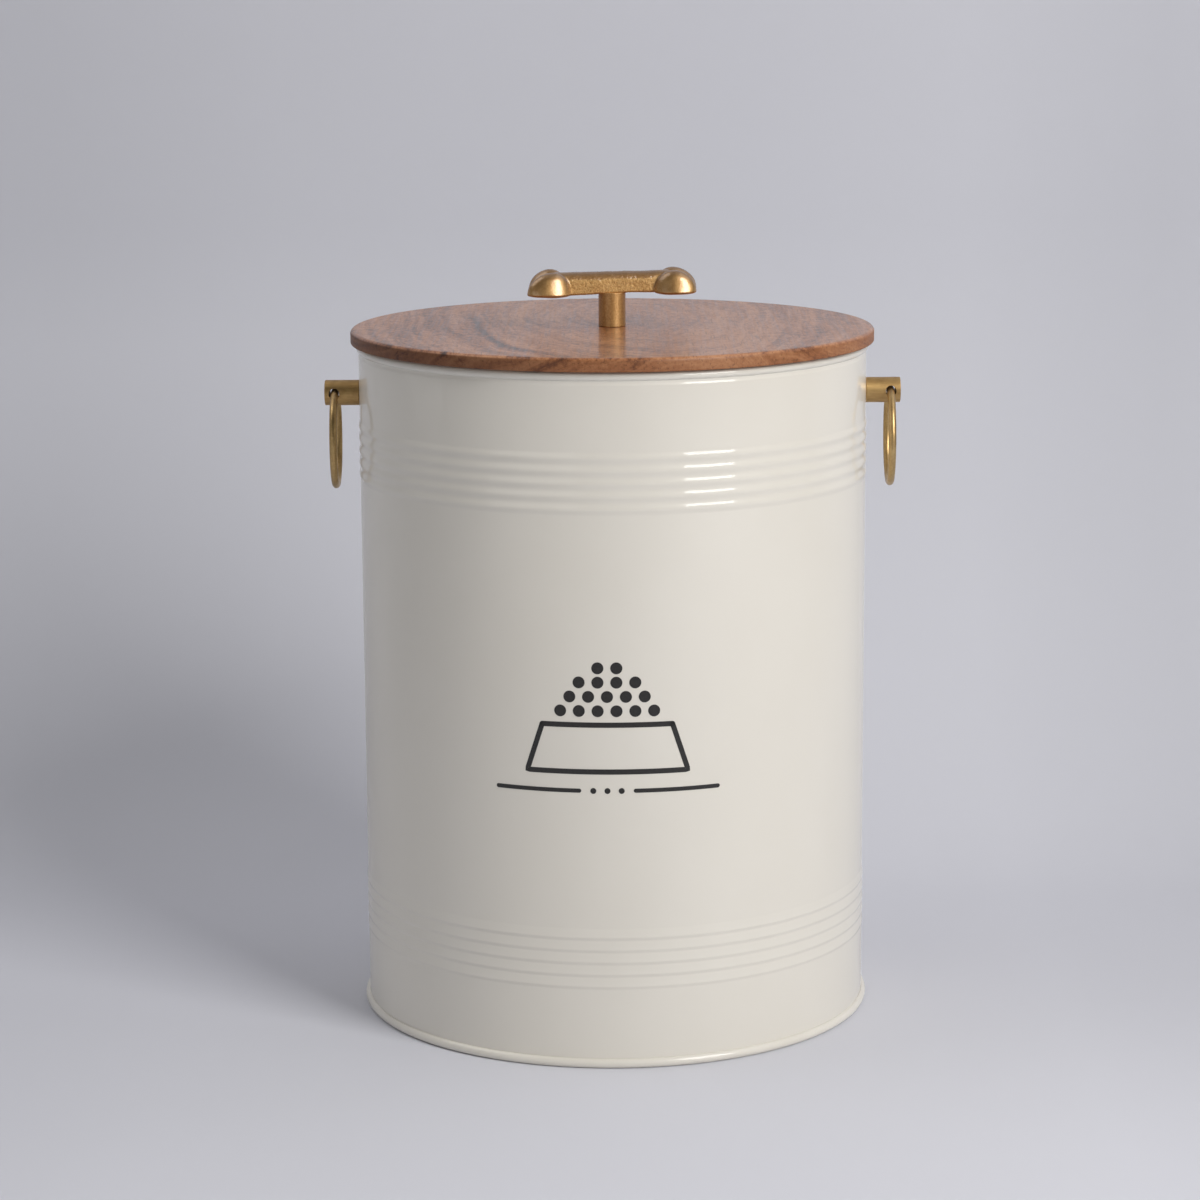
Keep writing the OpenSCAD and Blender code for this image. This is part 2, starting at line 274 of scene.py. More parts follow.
def growth_line(s, reach, radius):
    """The one dark growth line, on the left half of the face."""
    x, y, _ = s.split(s.coords())
    off = s.math("ABSOLUTE", s.math("SUBTRACT", reach, 0.64 * radius))
    line = s.math("MULTIPLY", s.span(off, 0.034 * radius, 0.0), s.span(y, 0.62 * radius, 0.3 * radius))
    return s.math("MULTIPLY", line, s.span(x, -0.1 * radius, -0.3 * radius))


def edge_knots(s, tone, radius, middle_z):
    """Darkens the tone at the knots on the edge."""
    here = s.coords()
    knots = s.span(s.noise(s.coords((1, 1, 1.4), (0.011, 0.0, 0.0)), 150, 3.0, 0.65, 0.8), 0.55, 0.66)
    broken = s.math("MULTIPLY_ADD", knots, 0.85, 0.15)
    for degrees, size, depth in EDGE_KNOTS:
        off = s.away(here, on_rim(radius, degrees, middle_z))
        near = s.span(off, 0.3 * size * MM, size * MM, depth, 0.0)
        tone = s.math("SUBTRACT", tone, s.math("MULTIPLY", near, broken))
    return tone


def varnished_acacia():
    """A flat-sawn acacia board, its grain running front to back: growth rings, fibres, pores and flecks on
    the face, and a darker, duller edge with knots, painted shade towards its left, and one painted
    highlight."""
    s = Shade("acacia")
    low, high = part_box("lid_board")
    radius, top = high.x, high.z
    on_edge = s.span(s.facing_up(), 0.35, 0.65, 1.0, 0.0)
    figure, reach = growth_reach(s, radius, top)
    x, y, _ = s.split(s.coords())
    across_rings = s.join(s.math("MULTIPLY", reach, 170.0), s.math("MULTIPLY", y, 5.0), 0.0)
    rings = s.noise(across_rings, 1.0, 5.0, 0.68)
    broad = s.noise(s.coords((17, 6, 17), (0.3, 1.7, 0)), 1.0, 2.0, 0.5)
    fibres = s.noise(s.coords((520, 14, 520)), 1.0, 3.0, 0.65)
    flecks = s.noise(s.coords((330, 190, 420), (0.7, 0.2, 0)), 1.0, 4.0, 0.75)
    pores = s.span(s.noise(s.coords((1000, 60, 700)), 1.0, 1.0, 0.5), 0.60, 0.76)

    calm = s.span(figure, 0.05 * radius, 0.32 * radius, 0.30, 0.72)
    tone = s.math("MULTIPLY_ADD", s.math("SUBTRACT", rings, 0.5), calm, 0.33)
    tone = s.math("MULTIPLY_ADD", broad, 0.34, tone)
    tone = s.math("ADD", tone, s.math("MULTIPLY", fibres, 0.26))
    speckle = s.centred(flecks, s.between(on_edge, 0.85, 0.34))
    tone = s.math("SUBTRACT", s.math("ADD", tone, speckle), 0.008)
    tone = s.math("SUBTRACT", tone, s.math("MULTIPLY", growth_line(s, reach, radius), 0.17))
    tone = edge_knots(s, tone, radius, 0.5 * (low.z + top))
    # Painted highlight: a lighter patch on the upper edge, a little right of the front, where the main
    # light reflects.
    off_painted_highlight = s.away(s.coords(), on_rim(radius, 23, top), (1.0, 0.6, 1.0))
    tone = s.math("ADD", tone, s.span(off_painted_highlight, 14 * MM, 40 * MM, 0.05, 0.0))

    darkest, dark = (0.050, 0.017, 0.007), (0.190, 0.067, 0.025)
    warm, light = (0.340, 0.133, 0.050), (0.490, 0.226, 0.100)
    colour = s.ramp(tone, [(0.36, darkest), (0.50, dark), (0.61, warm), (0.78, light)])
    colour = s.mix(s.math("MULTIPLY", pores, 0.55), colour, (0.050, 0.019, 0.010))
    # The edge is darker all round, and painted shade darkens it further towards the left, away from the
    # main light.
    edge_dark_and_left_shade = s.math("MULTIPLY", on_edge, s.span(x, -0.1 * radius, -0.55 * radius, 0.24, 0.62))
    colour = s.mix(edge_dark_and_left_shade, colour, (0.060, 0.020, 0.009))
    grain = s.math("SUBTRACT", fibres, s.math("MULTIPLY", pores, 0.8))
    return s.finish(
        Base_Color=colour,
        Roughness=s.math("MULTIPLY_ADD", on_edge, 0.16, s.span(fibres, 0.3, 0.7, 0.30, 0.42)),
        Normal=s.bump(grain, 0.00005, 0.5),
        Specular_IOR_Level=0.38,
        Coat_Weight=s.between(on_edge, 0.38, 0.0),
        Coat_Roughness=0.12,
    )


def plug_plywood():
    """Sealed plywood, its plies showing on the edge."""
    s = Shade("plug_wood")
    grain = s.noise(s.coords((8, 130, 90)), 1.0, 4.0, 0.6)
    ply_pair = 2.4 * MM
    plies = s.math("SINE", s.math("MULTIPLY", s.split(s.coords())[2], 2 * math.pi / ply_pair))
    tone = s.math("MULTIPLY_ADD", plies, 0.05, grain)
    colour = s.ramp(tone, [(0.3, (0.24, 0.125, 0.058)), (0.7, (0.46, 0.285, 0.150))])
    return s.finish(Base_Color=colour, Roughness=0.5, Normal=s.bump(grain, 0.00008, 0.4))


def brass(name, darker, lighter, rough, coat, stretch=(1, 1, 1)):
    """Antique brass under clear lacquer: slow tone clouds, and fine brush lines along the stretch."""
    s = Shade(name)
    cloud = s.noise(s.coords(), 90, 3.0, 0.6)
    brushed = s.noise(s.coords(stretch), 900, 2.0, 0.6)
    tone = s.math("MULTIPLY_ADD", brushed, 0.35, s.math("MULTIPLY", cloud, 0.65))
    return s.finish(
        Base_Color=s.ramp(tone, [(0.36, darker), (0.62, lighter)]),
        Metallic=1.0,
        Roughness=s.span(tone, 0.35, 0.65, rough + 0.05, rough - 0.04),
        Normal=s.bump(brushed, 0.000012, 0.6),
        Coat_Weight=coat,
        Coat_Roughness=0.25,
    )


def stem_brass():
    """Coarser than the posts: sand-blasted and bronzed, with a soft broad sheen."""
    s = Shade("stem_brass")
    grit = s.noise(s.coords(), 950, 3.0, 0.65)
    return s.finish(
        Base_Color=s.ramp(grit, [(0.32, (0.440, 0.240, 0.085)), (0.66, (0.600, 0.370, 0.150))]),
        Metallic=1.0,
        Roughness=0.55,
        Normal=s.bump(grit, 0.00016, 0.75),
        Coat_Weight=0.6,
        Coat_Roughness=0.3,
    )


def cast_brass():
    """Sand-cast and bronzed: fine worms and pits on the bar, smoother lobes, and painted shade that darkens
    the upper side.
    """
    s = Shade("cast_brass")
    pits = s.cells(s.coords((1.0, 1.0, 0.8)), 1300)
    worms = s.noise(s.coords((1.1, 1.0, 0.8)), 1200, 2.0, 0.5, 0.5)
    relief = s.math("MULTIPLY_ADD", worms, 0.7, s.math("MULTIPLY", pits, 0.4))
    x = s.split(s.coords())[0]
    on_lobe = s.span(s.math("ABSOLUTE", x), 24 * MM, 30 * MM)
    dull, bronze, bright = (0.430, 0.245, 0.090), (0.610, 0.375, 0.145), (0.760, 0.510, 0.225)
    colour = s.ramp(relief, [(0.26, dull), (0.50, bronze), (0.70, bright)])
    clouds = s.noise(s.coords(), 240, 3.0, 0.6)
    # The lobes' own smoother, worn bronze tone.
    lobe_wear_and_sweep_shade = s.ramp(clouds, [(0.35, (0.420, 0.235, 0.085)), (0.65, (0.600, 0.370, 0.145))])
    colour = s.mix(s.math("MULTIPLY", on_lobe, 0.8), colour, lobe_wear_and_sweep_shade)
    # Painted shade: the faces that look up are darkened, most on the bar and less on the lobes.
    painted_top_shade = s.span(s.facing_up(), 0.10, s.between(on_lobe, 0.34, 0.60), 0.0, 0.85)
    painted_top_shade = s.math("MULTIPLY", painted_top_shade, s.between(on_lobe, 1.0, 0.75))
    colour = s.mix(painted_top_shade, colour, (0.225, 0.112, 0.040))
    normal = s.bump(relief, 0.00013, s.between(on_lobe, 0.70, 0.42))
    return s.finish(
        Base_Color=colour,
        Metallic=1.0,
        Roughness=s.between(on_lobe, 0.60, 0.47),
        Normal=normal,
        Coat_Weight=1.0,
        Coat_Roughness=0.21,
        Coat_IOR=1.7,
        Coat_Normal=normal,
    )


def plain(name, colour, roughness, metallic=0.0):
    """Small plain finish with a little speckle, for fasteners, wire and silicone."""
    s = Shade(name)
    speckle = s.noise(s.coords(), 500, 3.0, 0.6)
    dark = tuple(0.82 * c for c in colour)
    tint = s.ramp(speckle, [(0.35, dark), (0.65, colour)])
    normal = s.bump(speckle, 0.00002, 0.4)
    return s.finish(Base_Color=tint, Roughness=roughness, Metallic=metallic, Normal=normal)


def printed_ink():
    """Black ink, a little uneven."""
    s = Shade("printed_ink")
    wear = s.noise(s.coords(), 700, 3.0, 0.6)
    colour = s.ramp(wear, [(0.3, (0.008, 0.007, 0.006)), (0.8, (0.020, 0.018, 0.016))])
    return s.finish(Base_Color=colour, Roughness=0.38, Coat_Weight=0.2)


# ---------------------------------------------------------------- mesh helpers


def mesh_object(name, verts, faces, material, smooth_angle):
    """A smooth object, its edges sharp beyond that angle in degrees."""
    mesh = bpy.data.meshes.new(name)
    mesh.from_pydata([tuple(v) for v in verts], [], faces)
    mesh.validate()
    made = bpy.data.objects.new(name, mesh)
    bpy.context.scene.collection.objects.link(made)
    mesh.materials.append(material)
    mesh.shade_smooth()
    mesh.set_sharp_from_angle(angle=math.radians(smooth_angle))
    return made


def lathe(profile, angles, offset=None):
    """Verts and faces of a closed profile turned about Z. offset(r, z, angle) moves a point outwards."""
    points, turns = len(profile), len(angles)
    verts = []
    for angle in angles:
        for r, z in profile:
            out = r + offset(r, z, angle) if offset else r
            verts.append((out * math.cos(angle), out * math.sin(angle), z))
    faces = []
    for i in range(turns):
        j = (i + 1) % turns
        for k in range(points):
            m = (k + 1) % points
            faces.append((i * points + k, j * points + k, j * points + m, i * points + m))
    return verts, faces


def even_angles(count):
    return [2 * math.pi * i / count for i in range(count)]


def arc(cx, cz, r, start, end, steps):
    """Points of an arc, both ends included, angles in degrees."""
    angles = [math.radians(a) for a in np.linspace(start, end, steps)]
    return [(cx + r * math.cos(a), cz + r * math.sin(a)) for a in angles]


# ---------------------------------------------------------------- bin wall


def rib_row(middle):
    """Heights of a group of ribs about its middle."""
    return [middle + (i - (RIB_COUNT - 1) / 2) * RIB_PITCH for i in range(RIB_COUNT)]


RIB_PLACES = {"lower": rib_row(LOWER_RIBS_Z), "upper": rib_row(RIM_Z - UPPER_RIBS_DROP)}


def rounded_step(x, width):
    """Goes from 0 to 1 as x goes from 0 to width."""
    t = min(max(x / width, 0.0), 1.0)
    return t * t * (3 - 2 * t)


def rib_rise(z):
    """How far the ribbed wall stands out. The upper ribs roll evenly, and the lower ones are broad and
    lean out downwards, each with a short return under it."""
    for group, places in RIB_PLACES.items():
        off = min((z - place for place in places), key=abs)
        if abs(off) >= RIB_PITCH / 2:
            continue
        if group == "upper":
            return UPPER_RIB_HEIGHT * 0.5 * (1 + math.cos(2 * math.pi * off / RIB_PITCH))
        below = rounded_step(off + RIB_PITCH / 2, LOWER_RIB_RETURN)
        above = (RIB_PITCH / 2 - off) / (RIB_PITCH - LOWER_RIB_RETURN)
        return LOWER_RIB_HEIGHT * below * min(above, 1.0)
    return 0.0


def wall_heights(step):
    """Heights where the wall is sampled: close together over the ribs, and far apart between them."""
    heights = [shell_low.z]
    for places in RIB_PLACES.values():
        heights += list(np.arange(places[0] - RIB_PITCH, places[-1] + RIB_PITCH, step))
    plain_steps = np.linspace(shell_low.z, CURL_Z - CURL_R, 60)
    heights += [z for z in plain_steps if rib_rise(z) < 0.01 * MM]
    return sorted(set(round(z, 7) for z in heights))


def seam_angles():
    """Even turns, with more of them at the edges of the lap seam at the back."""
    back = math.pi / 2
    extra = [back]
    for across in np.linspace(-SEAM_SHOULDER / 2, SEAM_SHOULDER / 2, 5):
        off = (SEAM_WIDTH / 2 + across) / WALL_R
        extra += [back - off, back + off]
    kept = [a for a in even_angles(360) if abs(a - back) > math.radians(2)]
    return sorted(kept + extra)


def seam_rise(angle):
    """How far the lap seam stands out, with rounded edges."""
    inside = SEAM_WIDTH / 2 - abs(angle - math.pi / 2) * WALL_R
    return SEAM_RISE * rounded_step(inside + SEAM_SHOULDER / 2, SEAM_SHOULDER)


def build_wall(material):
    """The rolled wall: ribs, a shallow neck under the curled rim, and the lap seam at the back."""
    valley_angle = -math.acos((WALL_R - NECK_DEPTH - CURL_X) / CURL_R)
    valley_z = CURL_Z + CURL_R * math.sin(valley_angle)
    neck = np.linspace(valley_z - NECK_HEIGHT - NECK_SHOULDER, valley_z - NECK_HEIGHT, 13)
    outside = [(WALL_R + rib_rise(z), z) for z in wall_heights(OUTSIDE_STEP) if z < neck[0] - OUTSIDE_STEP]
    outside += [(WALL_R - NECK_DEPTH * rounded_step(z - neck[0], NECK_SHOULDER), z) for z in neck]
    bead = arc(CURL_X, CURL_Z, CURL_R, math.degrees(valley_angle), 247, 30)
    curl_foot = CURL_Z - CURL_R
    slit = [(CURL_X - SHEET, curl_foot + 0.8 * MM), (WALL_R - SHEET, curl_foot + 0.4 * MM)]
    inner_heights = [z for z in wall_heights(INSIDE_STEP) if z < curl_foot - OUTSIDE_STEP]
    inside = [(WALL_R - SHEET + rib_rise(z), z) for z in inner_heights]
    seam_low, seam_high = HEM_HEIGHT + SEAM_FOOT_GAP, valley_z - SEAM_TOP_GAP

    def seam(r, z, angle):
        outer = r > WALL_R - 0.1 * MM
        return seam_rise(angle) if outer and seam_low < z < seam_high else 0.0

    verts, faces = lathe(outside + bead + slit + inside[::-1], seam_angles(), seam)
    wall = mesh_object("bin_wall", verts, faces, material, 50)
    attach(wall, "bin")
    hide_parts("body_shell")


# ---------------------------------------------------------------- lid board

LID_TOP_ROUND = 2.4 * MM
LID_BOTTOM_ROUND = 0.8 * MM


def build_lid(material):
    """The wooden disc, with a round upper edge and a small round below."""
    low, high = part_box("lid_board")
    radius = high.x
    steps = [radius * f for f in np.linspace(0.04, 0.97, 24)]
    bottom = [(r, low.z) for r in steps]
    edge = arc(radius - LID_BOTTOM_ROUND, low.z + LID_BOTTOM_ROUND, LID_BOTTOM_ROUND, -90, 0, 7)
    edge += arc(radius - LID_TOP_ROUND, high.z - LID_TOP_ROUND, LID_TOP_ROUND, 0, 90, 12)
    top = [(r, high.z) for r in steps[::-1]]
    verts, faces = lathe(bottom + edge + top, even_angles(360))
    board = mesh_object("lid_wood", verts, faces, material, 60)
    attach(board, "lid")
    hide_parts("lid_board")


# ---------------------------------------------------------------- cast handle

HANDLE_TURN = math.radians(6)
BONE_FOOT = 1.0 * MM
BAR_WIDTH = 12.4 * MM
BAR_BEVEL = 0.8 * MM
# Sections of the bar from left to right, in mm: place along it, underside and crown
BAR_SECTIONS = ((-34.0, -1.7, 12.0), (10.2, -0.1, 12.2), (34.0, 0.0, 12.5))
LOBE_SPLAY = math.radians(8)
LOBE_BELLY = 2.1 * MM
FLANK_SLOPE = 0.5
CAST_VOXEL = 0.35 * MM


class Lobe(NamedTuple):
    """One knuckle of the bone, in mm: the place and height of its crown, its reach from the crown to the
    tip and to the bar, its width, and the level where it is widest."""

    crown_x: float
    crown_y: float
    crown_z: float
    tip_reach: float
    bar_reach: float
    width: float
    widest_z: float


# Sand casting leaves the four knuckles a little unlike each other
LOBES = (
    Lobe(-35.2, -8.0, 12.6, 15.8, 10.4, 16.4, -0.1),
    Lobe(-35.6, 7.4, 13.2, 13.2, 10.4, 16.0, 0.4),
    Lobe(35.8, -7.6, 13.0, 13.4, 11.6, 16.2, 0.5),
    Lobe(36.6, 7.4, 13.4, 14.8, 11.6, 16.0, 0.7),
)


def add_lobe(bm, lobe):
    """A knuckle: a domed top over a shallow belly, its outer flank sloping out to the foot."""
    made = bmesh.ops.create_uvsphere(bm, u_segments=64, v_segments=40, radius=1.0)["verts"]
    end, flank = math.copysign(1, lobe.crown_x), math.copysign(1, lobe.crown_y)
    turn = Matrix.Rotation(end * flank * LOBE_SPLAY, 3, "Z")
    seat = Vector((lobe.crown_x, lobe.crown_y, lobe.widest_z)) * MM
    for v in made:
        x, y, z = v.co
        if y * flank > 0 and z > 0:
            y *= 1 - FLANK_SLOPE * z * (1 - z)
        x *= (lobe.tip_reach if x * end > 0 else lobe.bar_reach) * MM
        z *= (lobe.crown_z - lobe.widest_z) * MM if z > 0 else LOBE_BELLY
        v.co = seat + turn @ Vector((x, y * lobe.width / 2 * MM, z))


def add_arched_bar(bm):
    """The bar between the lobes: flat below, with upright sides and a rounded top, deeper at the left."""
    r = BAR_WIDTH / 2
    rings = []
    for section in BAR_SECTIONS:
        x, foot, crown = (v * MM for v in section)
        shoulder = foot + 0.55 * (crown - foot)
        outline = [(r - BAR_BEVEL, foot), (r, foot + BAR_BEVEL)]
        for a in np.linspace(0, math.pi, 33):
            across = math.copysign(abs(math.cos(a)) ** 0.85, math.cos(a))
            outline.append((r * across, shoulder + math.sin(a) ** 0.9 * (crown - shoulder)))
        outline += [(-r, foot + BAR_BEVEL), (-r + BAR_BEVEL, foot)]
        rings.append([bm.verts.new((x, y, z)) for y, z in outline])
    for near, far in zip(rings, rings[1:]):
        count = len(near)
        for k in range(count):
            m = (k + 1) % count
            bm.faces.new((near[k], near[m], far[m], far[k]))
    bm.faces.new(rings[0][::-1])
    bm.faces.new(rings[-1])


def cast_surface(p, n):
    """Point p moved along its normal n by slow swells and, mostly on the bar, by the sand's grain."""
    on_bar = 1.0 - min(max((abs(p.x) - 24 * MM) / (6 * MM), 0.0), 1.0)
    grain = noise.noise(p * 760) * 0.085 + noise.noise(p * 1500) * 0.035
    swell = noise.noise(p * 120) * 0.22
    return p + n * (grain * (0.25 + 0.75 * on_bar) + swell) * MM


def build_bone(material):
    """Bar and lobes fused into one casting, softened where they meet, and given its rough surface."""
    bm = bmesh.new()
    add_arched_bar(bm)
    for lobe in LOBES:
        add_lobe(bm, lobe)
    mesh = bpy.data.meshes.new("cast_bone")
    bm.to_mesh(mesh)
    bm.free()
    bone = bpy.data.objects.new("cast_bone", mesh)
    bpy.context.scene.collection.objects.link(bone)
    remesh = bone.modifiers.new("remesh", "REMESH")
    remesh.mode = "VOXEL"
    remesh.voxel_size = CAST_VOXEL
    soften = bone.modifiers.new("soften", "SMOOTH")
    soften.iterations = 2
    soften.factor = 0.5
    bone.data = bpy.data.meshes.new_from_object(bone.evaluated_get(bpy.context.evaluated_depsgraph_get()))
    bone.modifiers.clear()
    turn = Matrix.Rotation(HANDLE_TURN, 3, "Z")
    shift = Vector((0, 0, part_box("handle_bone")[0].z + BONE_FOOT))
    places = [v.co.copy() for v in bone.data.vertices]
    normals = [Vector(n.vector) for n in bone.data.vertex_normals]
    for v, p, n in zip(bone.data.vertices, places, normals):
        v.co = turn @ cast_surface(p, n) + shift
    bone.data.materials.append(material)
    bone.data.shade_smooth()
    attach(bone, "lid")
    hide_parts("handle_bone")


# ---------------------------------------------------------------- side rings

RING_WIRE_D = 4.5 * MM
RING_TOE_IN = math.radians(1.0)


def build_ring(side, material):
    """A wire ring that hangs edge-on to the front, its front half turned in a little to the wall."""
    node = side + "_ring"
    low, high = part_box(node)
    middle = (low + high) / 2
    wire = RING_WIRE_D / 2
    reach = (high.z - low.z) / 2 - (high.x - low.x) / 2
    toe = Matrix.Rotation(-RING_TOE_IN * math.copysign(1, middle.x), 3, "Z")
    turns, sides = 180, 28
    verts = []
    for a in even_angles(turns):
        for b in even_angles(sides):
            r = reach + wire * math.cos(b)
            verts.append(middle + toe @ Vector((wire * math.sin(b), r * math.sin(a), r * math.cos(a))))
    faces = []
    for i in range(turns):
        j = (i + 1) % turns
        for k in range(sides):
            m = (k + 1) % sides
            faces.append((i * sides + k, i * sides + m, j * sides + m, j * sides + k))
    ring = mesh_object(node + "_wire", verts, faces, material, 60)
    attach(ring, node)
    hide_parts(node)


# ---------------------------------------------------------------- printed pictogram

PRINT_ACROSS = -4.0 * MM
PRINT_Z = 199.0 * MM
PRINT_PROUD = 0.10 * MM
INK = 0.06 * MM
DOT_PROUD = 0.001 * MM
BOWL_STROKE = 3.0 * MM
BOWL_TOP = 2.0 * MM
BOWL_FOOT = -25.0 * MM
BOWL_RIM_HALF = 37.0 * MM
BOWL_FOOT_HALF = 46.0 * MM
KIBBLE_ROWS = (6, 5, 4, 2)
KIBBLE_R = 3.4 * MM
KIBBLE_PITCH = 10.6 * MM
KIBBLE_ROW_RISE = 8.2 * MM
KIBBLE_LIFT = 8.0 * MM
GROUND = -36.0 * MM
GROUND_STROKE = 2.4 * MM
GROUND_INNER = 16.0 * MM
GROUND_OUTER = 64.0 * MM
GROUND_DOT_R = 1.7 * MM
GROUND_DOT_PITCH = 8.0 * MM


def on_wall(across, up, lift):
    """A point of the flat drawing, wrapped round the front of the wall."""
    angle = (PRINT_ACROSS + across) / WALL_R
    r = WALL_R + lift
    return (r * math.sin(angle), -r * math.cos(angle), PRINT_Z + up)


def resample(path, step=1.2 * MM):
    """Adds points to a path so that it bends with the wall."""
    out = [Vector(path[0])]
    for a, b in zip(path, path[1:]):
        a, b = Vector(a), Vector(b)
        count = max(1, math.ceil((b - a).length / step))
        out += [a.lerp(b, k / count) for k in range(1, count + 1)]
    return out


def ink_dot(verts, faces, centre, radius, steps=28, raised=0.0):
    """A round dot of ink, as a closed thin solid."""
    start = len(verts)
    for lift in (PRINT_PROUD - INK, PRINT_PROUD + raised):
        for a in even_angles(steps):
            verts.append(on_wall(centre[0] + radius * math.cos(a), centre[1] + radius * math.sin(a), lift))
    for k in range(steps):
        m = (k + 1) % steps
        faces.append((start + k, start + m, start + steps + m, start + steps + k))
    faces.append(tuple(start + k for k in range(steps))[::-1])
    faces.append(tuple(start + steps + k for k in range(steps)))


def ink_stroke(verts, faces, path, width):
    """A band of ink along a path with round ends, as closed thin solids."""
    points = resample(path)
    last = len(points) - 1
    start = len(verts)
    for i, p in enumerate(points):
        along = (points[min(i + 1, last)] - points[max(i - 1, 0)]).normalized()
        side = Vector((-along.y, along.x)) * width / 2
        for lift in (PRINT_PROUD - INK, PRINT_PROUD):
            verts += [on_wall(*(p - side), lift), on_wall(*(p + side), lift)]
    for i in range(last):
        a, b = start + 4 * i, start + 4 * (i + 1)
        for k, m in ((0, 1), (1, 3), (3, 2), (2, 0)):
            faces.append((a + k, a + m, b + m, b + k))
    end = start + 4 * last
    faces.append((start, start + 2, start + 3, start + 1))
    faces.append((end, end + 1, end + 3, end + 2))
    for tip in (points[0], points[-1]):
        ink_dot(verts, faces, tip, width / 2, 20, DOT_PROUD)


def build_print(material):
    """A feeding bowl heaped with round kibble, on a broken ground line."""
    verts, faces = [], []
    rim = [(-BOWL_RIM_HALF, BOWL_TOP), (BOWL_RIM_HALF, BOWL_TOP)]
    foot = [(-BOWL_FOOT_HALF, BOWL_FOOT), (BOWL_FOOT_HALF, BOWL_FOOT)]
    ink_stroke(verts, faces, [rim[0], *foot, rim[1]], BOWL_STROKE)
    ink_stroke(verts, faces, rim, BOWL_STROKE)
    for row, count in enumerate(KIBBLE_ROWS):
        up = BOWL_TOP + KIBBLE_LIFT + row * KIBBLE_ROW_RISE
        for k in range(count):
            ink_dot(verts, faces, ((k - (count - 1) / 2) * KIBBLE_PITCH, up), KIBBLE_R)
    for side in (-1, 1):
        ground = [(side * GROUND_OUTER, GROUND), (side * GROUND_INNER, GROUND)]
        ink_stroke(verts, faces, ground, GROUND_STROKE)
    for k in (-1, 0, 1):
        ink_dot(verts, faces, (k * GROUND_DOT_PITCH, GROUND), GROUND_DOT_R)
    made = mesh_object("bowl_print", verts, faces, material, 30)
    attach(made, "bin")


# ---------------------------------------------------------------- finishes on the pieces

finishes = {
    "powder_coat": powder_coat(),
    "steel_wire": plain("steel_wire", (0.55, 0.56, 0.57), 0.35, 1.0),
    "post_brass": brass("post_brass", (0.40, 0.25, 0.098), (0.56, 0.37, 0.155), 0.5, 0.15, (0.15, 1, 1)),
    "ring_brass": brass("ring_brass", (0.41, 0.265, 0.108), (0.57, 0.395, 0.175), 0.4, 0.25),
    "stem_brass": stem_brass(),
    "cast_brass": cast_brass(),
    "acacia": varnished_acacia(),
    "plug_wood": plug_plywood(),
    "silicone": plain("silicone", (0.80, 0.80, 0.78), 0.45),
    "fastener_steel": plain("fastener_steel", (0.60, 0.61, 0.62), 0.3, 1.0),
}
slot_of = {row["node"]: row["material_slot"] for row in frame["record"]["subparts"]}
for node_name, node_object in frame["nodes"].items():
    node_object.data.materials.clear()
    node_object.data.materials.append(finishes[slot_of[node_name]])

build_wall(finishes["powder_coat"])
build_lid(finishes["acacia"])
build_bone(finishes["cast_brass"])
build_ring("left", finishes["ring_brass"])
build_ring("right", finishes["ring_brass"])
build_print(printed_ink())

# ---------------------------------------------------------------- floor, light and camera

LIGHT_AIM = Vector((0, 0, 0.22))
# The camera's distance in front and its height, both in wall radii
CAMERA_BACK = 13.73
CAMERA_UP = 4.31
CAMERA_TILT = math.radians(11.08)
CAMERA_TURN = math.radians(0.227)
CAMERA_ROLL = math.radians(0.35)


def sweep_paint():
    """Pale cool grey with faint clouds, and painted shade that makes it a little darker at the far left and
    right and towards the back.
    """
    s = Shade("studio_sweep")
    cloud = s.noise(s.coords(), 1.3, 2.0, 0.5)
    colour = s.ramp(cloud, [(0.35, (0.662, 0.670, 0.726)), (0.65, (0.676, 0.684, 0.740))])
    across, back, _ = s.split(s.coords())
    # Painted shade: darker towards the far left and right and towards the back, where the light falls off.
    lobe_wear_and_sweep_shade = s.math("ADD", s.span(across, 0.27, 0.42, 0.0, 0.09), s.span(across, -0.25, -0.42, 0.0, 0.05))
    lobe_wear_and_sweep_shade = s.math("ADD", lobe_wear_and_sweep_shade, s.span(back, -0.4, 0.3, 0.0, 0.085))
    s.finish(Base_Color=s.mix(lobe_wear_and_sweep_shade, colour, (0.0, 0.0, 0.0)), Roughness=0.85)
    s.clear_from_behind()
    return s.mat


def build_stage():
    """A pale floor that sweeps up into the backdrop."""
    front, foot, bend, height, half = -3.0, 0.20, 0.42, 2.4, 3.0
    profile = [(front, 0.0), (foot, 0.0)]
    turns = np.linspace(0, math.pi / 2, 48)[1:]
    profile += [(foot + bend * math.sin(t), bend - bend * math.cos(t)) for t in turns]
    profile.append((foot + bend, height))
    verts = [(x, y, z) for y, z in profile for x in (-half, half)]
    faces = [(2 * i, 2 * i + 1, 2 * i + 3, 2 * i + 2) for i in range(len(profile) - 1)]
    sweep = mesh_object("studio_sweep", verts, faces, sweep_paint(), 40)


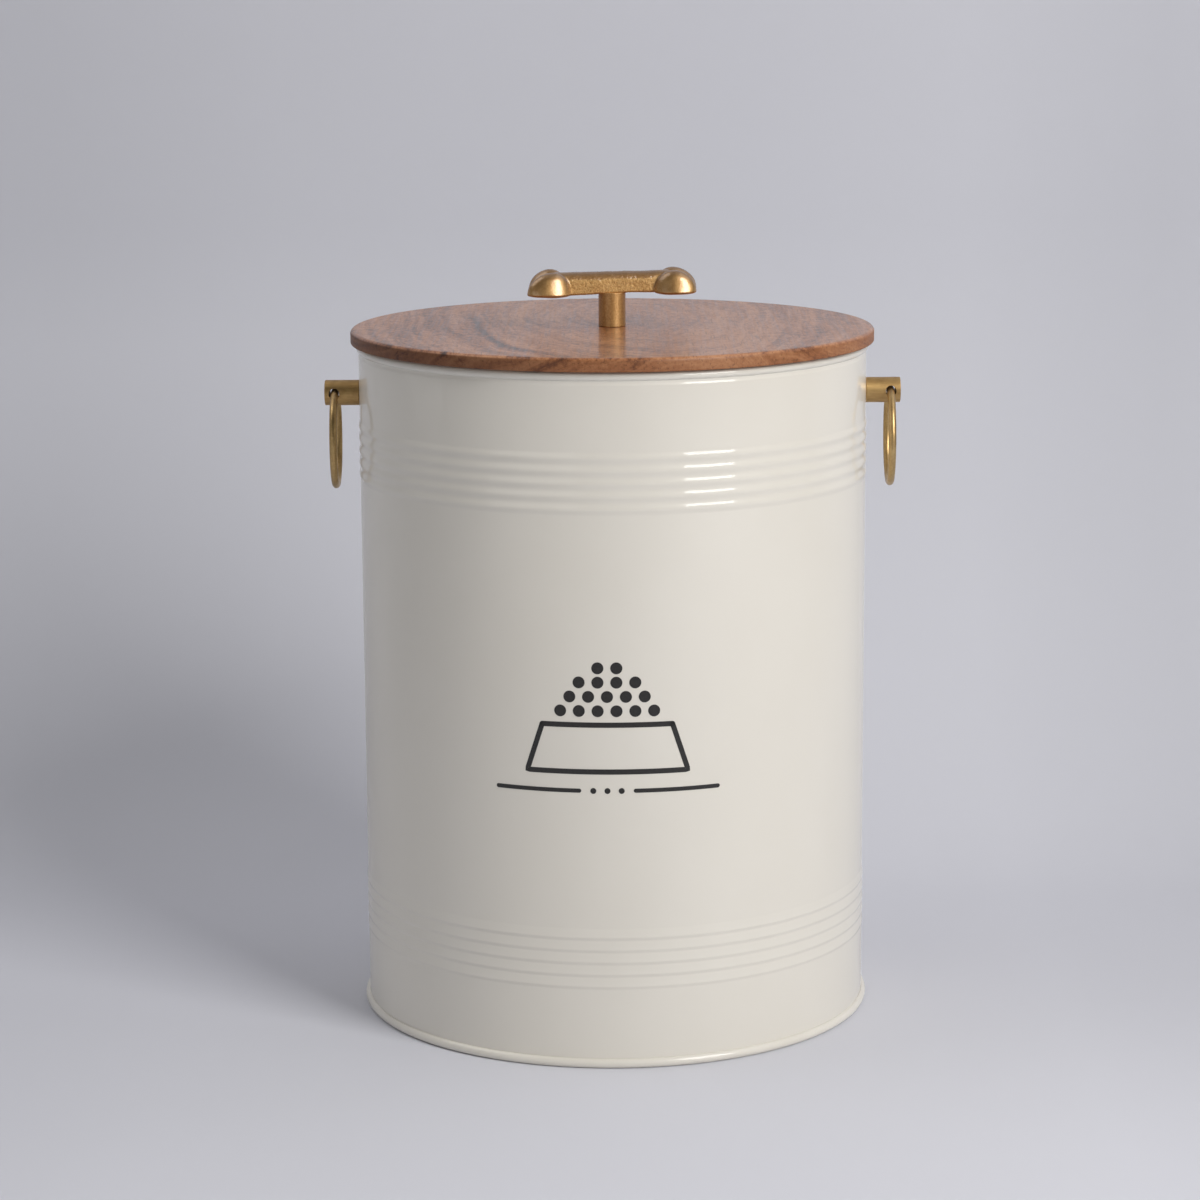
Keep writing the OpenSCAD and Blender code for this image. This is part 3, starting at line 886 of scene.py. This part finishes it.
def area_light(name, azimuth, elevation, distance, size, power, colour=(1.0, 0.99, 0.985)):
    """A soft light aimed at the bin from that azimuth, to the right of the camera, and elevation."""
    a, e = math.radians(azimuth), math.radians(elevation)
    away = Vector((math.sin(a) * math.cos(e), -math.cos(a) * math.cos(e), math.sin(e)))
    data = bpy.data.lights.new(name, "AREA")
    data.shape = "RECTANGLE"
    data.size, data.size_y = size
    data.energy = power
    data.color = colour
    made = bpy.data.objects.new(name, data)
    made.location = LIGHT_AIM + distance * away
    made.rotation_euler = (-away).to_track_quat("-Z", "Y").to_euler()
    bpy.context.scene.collection.objects.link(made)


def build_lights():
    """One main softbox from the front right, and weak ones all round that lift the shadows."""
    area_light("key", 43, 30, 2.6, (1.05, 1.6), 52.5, (1.0, 0.985, 0.965))
    area_light("overhead", 170, 86, 2.3, (2.2, 1.8), 4.2)
    area_light("high_right", 90, 55, 2.5, (1.5, 1.5), 7.5)
    area_light("high_left", -90, 55, 2.5, (1.5, 1.5), 12)
    area_light("low_left", -95, 8, 2.6, (1.4, 1.2), 2.5)
    area_light("fill", -35, 12, 2.6, (1.8, 1.3), 6.2)
    world = bpy.data.worlds.new("studio")
    world.use_nodes = True
    background = world.node_tree.nodes["Background"]
    background.inputs["Color"].default_value = (0.97, 0.98, 1.0, 1.0)
    background.inputs["Strength"].default_value = 0.03
    bpy.context.scene.world = world


def build_camera():
    """A long lens a little above the lid, tilted down, and turned and rolled by a fraction of a degree."""
    data = bpy.data.cameras.new("camera")
    data.sensor_width = 36.0
    data.lens = 104.88
    camera = bpy.data.objects.new("camera", data)
    bpy.context.scene.collection.objects.link(camera)
    camera.location = (0.0, -CAMERA_BACK * WALL_R, CAMERA_UP * WALL_R)
    aimed = Euler((math.pi / 2 - CAMERA_TILT, 0.0, CAMERA_TURN)).to_matrix()
    camera.rotation_mode = "QUATERNION"
    camera.rotation_quaternion = (aimed @ Matrix.Rotation(-CAMERA_ROLL, 3, "Z")).to_quaternion()
    bpy.context.scene.camera = camera


build_stage()
build_lights()
build_camera()
bpy.context.scene.view_settings.view_transform = "Standard"
